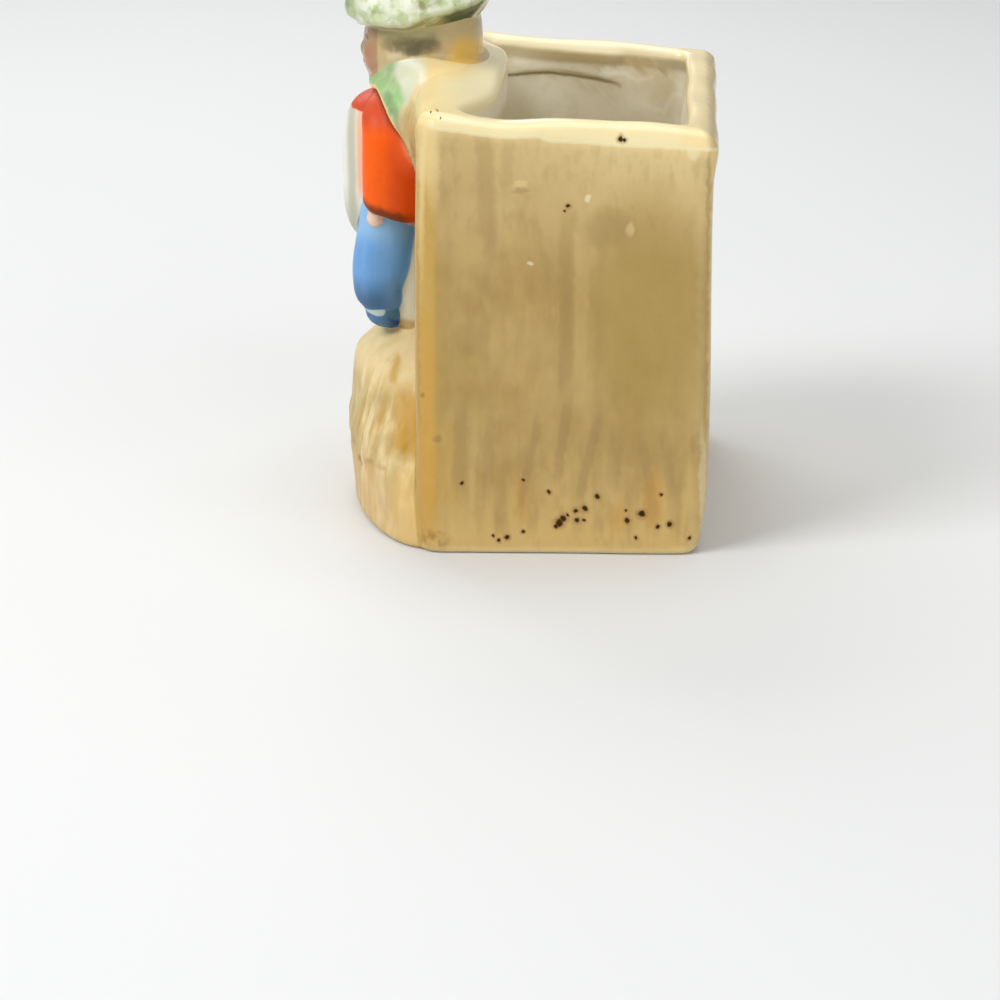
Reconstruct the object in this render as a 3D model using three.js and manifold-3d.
// A glazed ceramic planter: an open box with a child in half relief on its front wall,
// standing on a carved mound. Millimetres, +Z up, the child faces -Y, and the origin is
// the middle of the box's footprint on the surface that it stands on.
import * as THREE from "three";
import { mergeVertices } from "three/addons/utils/BufferGeometryUtils.js";
import Module from "manifold-3d";

const wasm = await Module();
wasm.setup();

// Box
const boxWidth = 100;
const boxDepth = 63.4;
const rimHeightFront = 100.2;
const rimHeightBack = 94.4;
const rimHigherOnRight = 1.6; // the rim stands this much higher on the child's right
const rimRiseAtChild = 1.8; // and swells up this much behind the child
const rimRiseFadesFrom = -14; // the y where that swelling starts to die away
const sideWallLean = 0.7; // degrees, each top outwards
const cornerRadius = 4.2;
const baseEdgeRadius = 2;
const wallThickness = 7;
const frontWallThickness = 9.8;
const floorThickness = 6;
const innerCornerRadius = 3.2;
const floorEdgeRadius = 2.6; // where the floor turns up into the walls
const rimRoundHeight = 3.2;
const rimSquareness = 0.75; // 1 is a half round rim, less is squarer
const rimSwell = 0.4; // how far the rim stands out past the walls
const backBulge = 7; // the child's back, where it swells into the opening at the rim
const backBulgeReach = 41; // half-width of that swelling
const backBulgeFade = 38; // how far below the rim it dies away

// The front and back walls, from the base up: how far each stands from the middle.
const frontWallProfile = [
  { z: 0, y: -30.9 },
  { z: 16, y: -31.4 },
  { z: 58, y: -30.8 },
  { z: rimHeightFront, y: -30.1 },
];
const backWallProfile = [
  { z: 0, y: 30.6 },
  { z: 6, y: 32.2 },
  { z: 16, y: 33.3 },
  { z: 36, y: 34.1 },
  { z: 80, y: 34.6 },
  { z: rimHeightFront, y: 35.3 },
];

// Child, heights above the base
const childY = -32.9; // middle of the hat, over the front wall
const hatBrimHeight = 118;
const hatBrimHalfWidth = 18.6;
const hatBrimHalfDepth = 16.8;
const hatBrimRoll = 6.8; // radius of the rolled brim
const hatTop = 135.5;
const hatCrownOverlap = 3; // how far the crown reaches out over the middle of the roll
const headY = -32.3;
const headHeight = 107; // middle of the head
const headHalfWidth = 13;
const headHalfDepth = 13;
const headHalfHeight = 11;
const hairBack = -18.4;
const hairHalfDepth = 10.6;
const hairHalfHeight = 9;
const noseRadii = [1.5, 1.2, 1.5];
const neckY = headY + 0.8;
const neckRadii = [18, 13.2, 6.5];
const collarHeight = 100.2;
const shoulderHeight = 96;
const shoulderHalfWidth = 22.5;
const capeMiddle = { y: -30.5, z: 88 };
const capeRadii = [24.5, 12.4, 17];
const kerchiefPath = { halfWidth: 13, halfDepth: 9.3 }; // its roll's middle, round the neck
const kerchiefRoll = 2.9; // radius of the roll
const kerchiefDip = 0.9; // lower in front than behind
const jacketHem = 69.5;
const jacketHalfWidth = 20;
const jacketHalfDepth = 12.6;
const sleeveFront = -45.7;
const sleeveHalfWidth = 7.2;
const sleeveHalfDepth = 7;
const handRadius = 3;
const handY = -42.2;
const shirtFrontTop = 94.6;
const shirtFrontFoot = 61.6;
const shirtFrontY = -50.9;
const shirtHalfWidth = 14;
const shirtHalfDepth = 11;
const trouserHem = 47;
const legSpread = 8.4; // middle of each leg from the middle of the child
const soleHeight = 41.3;
const shoeRadii = [5.2, 4.5, 3.9];
const shoeY = -41.2;
const backingRadii = [15, 7.2, 19];

// The edge of the kerchief, from the middle of the chest over the child's left shoulder.
const kerchiefEdge = [
  [-2, -42.6, 96.5],
  [7, -42.4, 97],
  [13.5, -41, 96.4],
  [18.5, -38.4, 93.8],
  [22, -35.2, 90],
  [24, -31.5, 86.5],
];
const kerchiefEdgeHalfWidth = 2.3;
const kerchiefEdgeHalfThickness = 2.1;

// The child's left leg, from the hem up: how far each section stands above the hem,
// where its middle is in y, and half its width and depth.
const legSections = [
  { up: 0, y: -41.7, rx: 5.8, ry: 4.5 },
  { up: 3, y: -41.9, rx: 6.8, ry: 5.4 },
  { up: 9, y: -40.9, rx: 8.2, ry: 6.9 },
  { up: 17, y: -40, rx: 9, ry: 7 },
  { up: 23.5, y: -39.2, rx: 9.2, ry: 6.6 },
  { up: 27.5, y: -39, rx: 8, ry: 5.4 },
];

// The left sleeve, from the hem to the shoulder: how far each section lies in from the
// sleeve's middle line and behind it, and how much it is narrower and shallower there.
const sleeveSections = [
  { z: jacketHem, inwards: 0, behind: 0, narrower: 0.8, shallower: 0.9 },
  { z: jacketHem + 2, inwards: 0, behind: 0, narrower: 0, shallower: 0 },
  { z: 79, inwards: 0, behind: 0, narrower: -0.2, shallower: 0 },
  { z: 88, inwards: 0.4, behind: 0, narrower: 0, shallower: 0 },
  { z: shoulderHeight - 2, inwards: 2.4, behind: 0, narrower: 0.8, shallower: 0.4 },
  { z: shoulderHeight + 1.5, inwards: 5, behind: 0.6, narrower: 3.2, shallower: 2.6 },
];

// Mound, from the base up: how far forward it reaches, and how far to each side.
const moundPlanPower = 1.15; // over 1: narrower towards its ends than an oval
const moundFootDepth = 6.8; // how far its hidden back reaches into the wall
const strokeCount = 25; // carved strokes round the mound
const strokeDepth = 1;
const strokeUnevenness = 0.35; // share of the depth that comes and goes round the mound
const tierHeights = [10, 25]; // each tier of strokes steps in a little below the next
const tierStep = 0.6;
const moundProfile = [
  { z: 0, y: -47.2, halfWidth: 45.8 },
  { z: 3, y: -47.9, halfWidth: 46 },
  { z: 9, y: -48.8, halfWidth: 45.5 },
  { z: 14, y: -49.4, halfWidth: 43.5 },
  { z: 18, y: -49.9, halfWidth: 41.5 },
  { z: 22, y: -50, halfWidth: 39.5 },
  { z: 30, y: -48.9, halfWidth: 34.5 },
  { z: 35, y: -47.6, halfWidth: 30 },
  { z: 38.5, y: -46, halfWidth: 25.5 },
  { z: 41, y: -43.6, halfWidth: 20 },
  { z: 42, y: -40, halfWidth: 14 },
];

const glaze = new THREE.MeshStandardMaterial({
  color: 0xcdb27c,
  roughness: 0.22,
  metalness: 0,
});

const radians = THREE.MathUtils.degToRad;
const lerp = THREE.MathUtils.lerp;
const smooth = THREE.MathUtils.smoothstep;
const clamp = THREE.MathUtils.clamp;
const at = (x, y, z) => new THREE.Vector3(x, y, z);

// Keeps the sign, so that a power of a cosine squares a round section off.
const signedPower = (v, power) => Math.sign(v) * Math.abs(v) ** power;

// A closed solid from a stack of rings with the same number of points, each one
// anticlockwise seen against the way the stack runs; both ends close on their middles.
function solidFromRings(rings) {
  const count = rings[0].length;
  const middle = (ring) =>
    ring.reduce((sum, p) => sum.add(p), at(0, 0, 0)).divideScalar(count);
  const points = [...rings.flat(), middle(rings[0]), middle(rings.at(-1))];
  const firstPole = rings.length * count;
  const lastPole = firstPole + 1;
  const faces = [];
  for (let j = 0; j < count; j++) {
    const k = (j + 1) % count;
    const last = (rings.length - 1) * count;
    faces.push(firstPole, k, j);
    faces.push(lastPole, last + j, last + k);
    for (let i = 0; i < last; i += count) {
      faces.push(i + j, i + k, i + count + k);
      faces.push(i + j, i + count + k, i + count + j);
    }
  }
  const geometry = new THREE.BufferGeometry().setFromPoints(points);
  geometry.setIndex(faces);
  return solidFromGeometry(geometry);
}

function solidFromGeometry(geometry) {
  const bare = geometry.clone();
  bare.deleteAttribute("normal");
  bare.deleteAttribute("uv");
  const merged = mergeVertices(bare, 1e-4);
  return new wasm.Manifold(
    new wasm.Mesh({
      numProp: 3,
      vertProperties: new Float32Array(merged.attributes.position.array),
      triVerts: new Uint32Array(merged.index.array),
    }),
  );
}

// A rounded lump: powers under 1 make it squarer, in plan and in height.
function lump({
  centre,
  radii,
  plan = 1,
  rise = 1,
  around = 20,
  rows = 12,
  swell = () => 0,
}) {
  const rings = [];
  for (let i = 1; i < rows; i++) {
    const tilt = Math.PI * (i / rows - 0.5);
    const spread = Math.cos(tilt) ** rise;
    const ring = [];
    for (let j = 0; j < around; j++) {
      const turn = (2 * Math.PI * j) / around;
      const grow = 1 + swell(turn, tilt);
      ring.push(
        at(
          centre[0] +
            radii[0] * grow * spread * signedPower(Math.cos(turn), plan),
          centre[1] +
            radii[1] * grow * spread * signedPower(Math.sin(turn), plan),
          centre[2] + radii[2] * grow * signedPower(Math.sin(tilt), rise),
        ),
      );
    }
    rings.push(ring);
  }
  return solidFromRings(rings);
}

// A limb: oval sections at stated heights, each { z, x, y, rx, ry }, joined smoothly.
function limb(sections, { around = 18, rows = 10, plan = 0.85 } = {}) {
  const through = (key) => (share) => {
    const line = new THREE.CatmullRomCurve3(
      sections.map((s, i) => at(i, s[key], 0)),
    );
    return line.getPoint(share).y;
  };
  const [z, x, y, rx, ry] = ["z", "x", "y", "rx", "ry"].map(through);
  const rings = [];
  for (let i = 0; i <= rows; i++) {
    const s = i / rows;
    const ring = [];
    for (let j = 0; j < around; j++) {
      const turn = (2 * Math.PI * j) / around;
      ring.push(
        at(
          x(s) + rx(s) * signedPower(Math.cos(turn), plan),
          y(s) + ry(s) * signedPower(Math.sin(turn), plan),
          z(s),
        ),
      );
    }
    rings.push(ring);
  }
  return solidFromRings(rings);
}

// A soft roll of cloth laid along a curve, thinning to its ends.
function roll(points, { halfWidth, halfThickness, around = 8, steps = 14 }) {
  const curve = new THREE.CatmullRomCurve3(points.map((p) => at(...p)));
  const frames = curve.computeFrenetFrames(steps);
  const rings = [];
  for (let i = 0; i <= steps; i++) {
    const taper = Math.sin(Math.PI * clamp(i / steps, 0.06, 0.94)) ** 0.35;
    const place = curve.getPointAt(i / steps);
    const ring = [];
    for (let j = 0; j < around; j++) {
      const turn = (2 * Math.PI * j) / around;
      ring.push(
        place
          .clone()
          .addScaledVector(
            frames.normals[i],
            halfThickness * taper * Math.cos(turn),
          )
          .addScaledVector(
            frames.binormals[i],
            halfWidth * taper * Math.sin(turn),
          ),
      );
    }
    rings.push(ring);
  }
  return solidFromRings(rings);
}

const mirrored = (solid) => solid.mirror([1, 0, 0]);
const pair = (solid) => [solid, mirrored(solid)];

// Box

// How far a wall stands from the middle at height z, smoothly between its stated points.
function profileAt(profile, z) {
  const line = new THREE.SplineCurve(
    profile.map((p) => new THREE.Vector2(p.z, p.y)),
  );
  let low = 0;
  let high = 1;
  for (let i = 0; i < 20; i++) {
    const middle = (low + high) / 2;
    if (line.getPoint(middle).x < z) low = middle;
    else high = middle;
  }
  return line.getPoint(low).y;
}

function rimHeight(x, y) {
  const front = profileAt(frontWallProfile, rimHeightFront);
  const back = profileAt(backWallProfile, rimHeightFront);
  const share = clamp((y - front) / (back - front), 0, 1);
  const toRight = 0.5 - x / boxWidth;
  const nearChild =
    Math.cos((Math.PI / 2) * clamp(Math.abs(x) / backBulgeReach, 0, 1)) ** 2 *
    (1 - smooth(y, rimRiseFadesFrom, 0));
  return (
    lerp(rimHeightFront, rimHeightBack, share) +
    rimHigherOnRight * toRight +
    rimRiseAtChild * nearChild
  );
}

// A rounded rectangle, anticlockwise from the left end of its front edge.
// bow pushes the front edge back in its middle.
function outline({ halfWidth, front, back, corner, bow = 0 }) {
  const cornerSteps = 4;
  const points = [];
  const corners = [
    { x: halfWidth - corner, y: front + corner, from: -90 },
    { x: halfWidth - corner, y: back - corner, from: 0 },
    { x: corner - halfWidth, y: back - corner, from: 90 },
    { x: corner - halfWidth, y: front + corner, from: 180 },
  ];
  const edgeSteps = [3, 6, 3, 16];
  corners.forEach(({ x, y, from }, n) => {
    for (let i = 0; i <= cornerSteps; i++) {
      const turn = radians(from + (90 * i) / cornerSteps);
      points.push(
        new THREE.Vector2(
          x + corner * Math.cos(turn),
          y + corner * Math.sin(turn),
        ),
      );
    }
    const next = corners[(n + 1) % 4];
    const turn = radians(from + 90);
    const end = new THREE.Vector2(
      next.x + corner * Math.cos(turn),
      next.y + corner * Math.sin(turn),
    );
    const start = points.at(-1).clone();
    for (let i = 1; i < edgeSteps[n]; i++)
      points.push(start.clone().lerp(end, i / edgeSteps[n]));
  });
  for (const p of points) {
    const onFront = smooth(front + corner + 1 - p.y, 0, corner);
    const share = clamp(Math.abs(p.x) / backBulgeReach, 0, 1);
    p.y += bow * onFront * Math.cos((Math.PI / 2) * share ** 3) ** 2;
  }
  return points;
}

const outerOutline = (z, inset = 0) =>
  outline({
    halfWidth: boxWidth / 2 + z * Math.tan(radians(sideWallLean)) - inset,
    front: profileAt(frontWallProfile, z) + inset,
    back: profileAt(backWallProfile, z) - inset,
    corner: Math.max(cornerRadius - inset * 0.5, 1),
  });

const innerOutline = (z, inset = 0) =>
  outline({
    halfWidth:
      boxWidth / 2 +
      z * Math.tan(radians(sideWallLean)) -
      wallThickness -
      inset,
    front: profileAt(frontWallProfile, z) + frontWallThickness + inset,
    back: profileAt(backWallProfile, z) - wallThickness - inset,
    corner: innerCornerRadius,
    bow:
      backBulge *
      smooth(z, rimHeightFront - backBulgeFade, rimHeightFront - 2),
  });

function box() {
  const rings = [];
  const level = (points, height) =>
    rings.push(points.map((p) => at(p.x, p.y, height(p))));
  const edgeSteps = 3;
  for (let i = 0; i <= edgeSteps; i++) {
    const turn = (Math.PI / 2) * (i / edgeSteps);
    const z = baseEdgeRadius * (1 - Math.cos(turn));
    level(
      outerOutline(z, baseEdgeRadius * (1 - Math.sin(turn))),
      () => z,
    );
  }
  const springLine = (p) => rimHeight(p.x, p.y) - rimRoundHeight;
  const outsideLevels = [0.06, 0.16, 0.36, 0.7, 0.93]; // shares of the height
  const insideLevels = [0.93, 0.8, 0.6, 0.3];
  for (const share of outsideLevels)
    level(
      outerOutline(share * rimHeightFront),
      (p) => share * springLine(p),
    );
  const rimOutside = outerOutline(rimHeightFront, -rimSwell);
  const rimInside = innerOutline(rimHeightFront);
  const rimSteps = 6;
  for (let i = 0; i <= rimSteps; i++) {
    const turn = Math.PI * (i / rimSteps);
    const across = 0.5 - 0.5 * signedPower(Math.cos(turn), rimSquareness);
    const up = rimRoundHeight * Math.sin(turn) ** rimSquareness;
    level(
      rimOutside.map((p, n) => p.clone().lerp(rimInside[n], across)),
      (p) => springLine(p) + up,
    );
  }
  for (const share of insideLevels)
    level(
      innerOutline(share * rimHeightFront),
      (p) => share * springLine(p),
    );
  const floorEdgeTop = floorThickness + floorEdgeRadius;
  level(innerOutline(floorThickness, 0.15 * floorEdgeRadius), () => floorEdgeTop);
  level(innerOutline(floorThickness, floorEdgeRadius), () => floorThickness);
  return solidFromRings(rings);
}

// Mound

function mound() {
  const through = (key) =>
    new THREE.SplineCurve(
      moundProfile.map((p) => new THREE.Vector2(p.z, p[key])),
    );
  const front = through("y");
  const side = through("halfWidth");
  const frontSteps = 76;
  const backSteps = 6;
  const middleY = -boxDepth / 2 + 0.6;
  const rows = 18;
  const rings = [];
  for (let i = 0; i <= rows; i++) {
    const place = front.getPoint(i / rows);
    const z = place.x;
    const halfWidth = side.getPoint(i / rows).y;
    const reach = middleY - place.y;
    const tier = tierHeights.filter((height) => z > height).length;
    const above = tierHeights[tier] ?? Infinity;
    const step = tierStep * smooth(z, above - 3, above);
    const lean = [0.1 - 0.012 * z, 0.003 * z, 0.02 - 0.004 * z][tier];
    const ring = [];
    for (let j = 0; j < frontSteps + backSteps; j++) {
      const onFront = j <= frontSteps;
      const turn = onFront
        ? Math.PI + (Math.PI * j) / frontSteps
        : (Math.PI * (j - frontSteps)) / backSteps;
      const stroke =
        Math.cos(strokeCount * (turn + lean) + 2 * tier) *
          (1 - strokeUnevenness * (1 - Math.sin(5 * turn + 3 * tier + 0.15 * z))) -
        0.5;
      const fade = onFront ? Math.sin((Math.PI * j) / frontSteps) ** 0.5 : 0;
      const cut = fade * (strokeDepth * stroke - step) * smooth(z, 0, 5);
      const depth = onFront ? reach + cut : moundFootDepth;
      ring.push(
        at(
          (halfWidth + cut) * signedPower(Math.cos(turn), moundPlanPower),
          middleY + depth * signedPower(Math.sin(turn), moundPlanPower),
          z,
        ),
      );
    }
    rings.push(ring);
  }
  return solidFromRings(rings);
}

// Child

function legs() {
  const leg = limb(
    legSections.map(({ up, y, rx, ry }, i) => {
      const inside = i === legSections.length - 1 ? 1 : 0;
      return { z: trouserHem + up, x: legSpread - inside, y, rx, ry };
    }),
  );
  const shoe = lump({
    centre: [legSpread + 0.4, shoeY, soleHeight + shoeRadii[2]],
    radii: shoeRadii,
    around: 16,
    rows: 8,
  });
  return [...pair(leg), ...pair(shoe)];
}

// The clay left standing behind the legs, between the mound and the jacket.
const legBacking = () =>
  lump({
    centre: [0, -boxDepth / 2, (soleHeight + jacketHem) / 2],
    radii: backingRadii,
    plan: 0.7,
    rise: 0.6,
    around: 16,
    rows: 8,
  });

const shirtFront = () =>
  lump({
    centre: [0, shirtFrontY + shirtHalfDepth, (shirtFrontTop + shirtFrontFoot) / 2],
    radii: [shirtHalfWidth, shirtHalfDepth, (shirtFrontTop - shirtFrontFoot) / 2],
    plan: 0.8,
    rise: 0.78,
    around: 24,
    rows: 14,
  });

function jacket() {
  const sleeveX = shoulderHalfWidth - sleeveHalfWidth;
  const sleeve = limb(
    sleeveSections.map(({ z, inwards, behind, narrower, shallower }) => ({
      z,
      x: sleeveX - inwards,
      y: sleeveFront + sleeveHalfDepth + behind,
      rx: sleeveHalfWidth - narrower,
      ry: sleeveHalfDepth - shallower,
    })),
  );
  const body = lump({
    centre: [0, -boxDepth / 2, (shoulderHeight + jacketHem) / 2],
    radii: [jacketHalfWidth, jacketHalfDepth, (shoulderHeight - jacketHem) / 2 + 0.6],
    plan: 0.75,
    rise: 0.6,
    around: 20,
    rows: 10,
  });
  const hand = lump({
    centre: [sleeveX - 1, handY, jacketHem - handRadius / 2],
    radii: [handRadius, handRadius, handRadius],
    around: 10,
    rows: 6,
  });
  return [...pair(sleeve), ...pair(hand), body];
}

// The cape over the shoulders, the kerchief round the neck and the edge that falls
// from it over each shoulder to the box.
function cape() {
  const back = lump({
    centre: [0, capeMiddle.y, capeMiddle.z],
    radii: capeRadii,
    plan: 0.9,
    around: 26,
    rows: 12,
  });
  const neck = lump({
    centre: [0, neckY, collarHeight - 2],
    radii: neckRadii,
    plan: 0.95,
    around: 24,
    rows: 8,
  });
  const kerchief = new THREE.TorusGeometry(1, 0.5, 8, 24);
  const place = kerchief.getAttribute("position");
  for (let i = 0; i < place.count; i++) {
    const x = place.getX(i);
    const y = place.getY(i);
    const turn = Math.atan2(y, x);
    const outwards = (kerchiefRoll * (Math.hypot(x, y) - 1)) / 0.5;
    const upwards = (kerchiefRoll * place.getZ(i)) / 0.5;
    place.setXYZ(
      i,
      (kerchiefPath.halfWidth + outwards) * Math.cos(turn),
      neckY + (kerchiefPath.halfDepth + outwards) * Math.sin(turn),
      collarHeight + kerchiefDip * Math.sin(turn) + upwards,
    );
  }
  const edge = roll(kerchiefEdge, {
    halfWidth: kerchiefEdgeHalfWidth,
    halfThickness: kerchiefEdgeHalfThickness,
  });
  return [back, neck, solidFromGeometry(kerchief), ...pair(edge)];
}

function head() {
  const skull = lump({
    centre: [0, headY, headHeight],
    radii: [headHalfWidth, headHalfDepth, headHalfHeight],
    rise: 0.9,
    around: 26,
    rows: 14,
  });
  const hair = lump({
    centre: [0, hairBack - hairHalfDepth, headHeight + 1],
    radii: [headHalfWidth + 0.9, hairHalfDepth, hairHalfHeight],
    plan: 0.8,
    rise: 0.5,
    around: 24,
    rows: 10,
  });
  const nose = lump({
    centre: [0, headY - headHalfDepth + 0.5, headHeight - 2],
    radii: noseRadii,
    around: 8,
    rows: 6,
  });
  return [skull, hair, nose];
}

const hatKnobs = (turn, tilt) =>
  0.018 * Math.sin(7 * turn + 2 * tilt) * Math.cos(3 * tilt) +
  0.012 * Math.sin(11 * turn - 5 * tilt);

function hat() {
  const brim = new THREE.TorusGeometry(1, 0.5, 12, 36);
  const place = brim.getAttribute("position");
  for (let i = 0; i < place.count; i++) {
    const x = place.getX(i);
    const y = place.getY(i);
    const turn = Math.atan2(y, x);
    const outwards = (Math.hypot(x, y) - 1) / 0.5;
    const upwards = place.getZ(i) / 0.5;
    const tilt = Math.atan2(upwards, outwards);
    const tube = hatBrimRoll * (1 + 3 * hatKnobs(turn, tilt));
    place.setXYZ(
      i,
      (hatBrimHalfWidth - hatBrimRoll + tube * outwards) * Math.cos(turn),
      childY +
        (hatBrimHalfDepth - hatBrimRoll + tube * outwards) * Math.sin(turn),
      hatBrimHeight + tube * upwards,
    );
  }
  const crownMiddle = hatBrimHeight + 1;
  const crown = lump({
    centre: [0, childY, crownMiddle],
    radii: [
      hatBrimHalfWidth - hatBrimRoll + hatCrownOverlap,
      hatBrimHalfDepth - hatBrimRoll + hatCrownOverlap,
      hatTop - crownMiddle,
    ],
    rise: 0.85,
    around: 24,
    rows: 12,
    swell: hatKnobs,
  });
  return [solidFromGeometry(brim), crown];
}

const planter = [
  mound(),
  ...legs(),
  legBacking(),
  shirtFront(),
  ...jacket(),
  ...cape(),
  ...head(),
  ...hat(),
].reduce((joined, solid) => joined.add(solid), box());

function meshFromSolid(name, solid, material) {
  const made = solid.getMesh();
  const geometry = new THREE.BufferGeometry();
  geometry.setAttribute(
    "position",
    new THREE.BufferAttribute(new Float32Array(made.vertProperties), 3),
  );
  geometry.setIndex(new THREE.BufferAttribute(new Uint32Array(made.triVerts), 1));
  geometry.computeVertexNormals();
  const mesh = new THREE.Mesh(geometry, material);
  mesh.name = name;
  return mesh;
}

const part = new THREE.Group();
part.add(meshFromSolid("figural_planter", planter, glaze));

export default part;
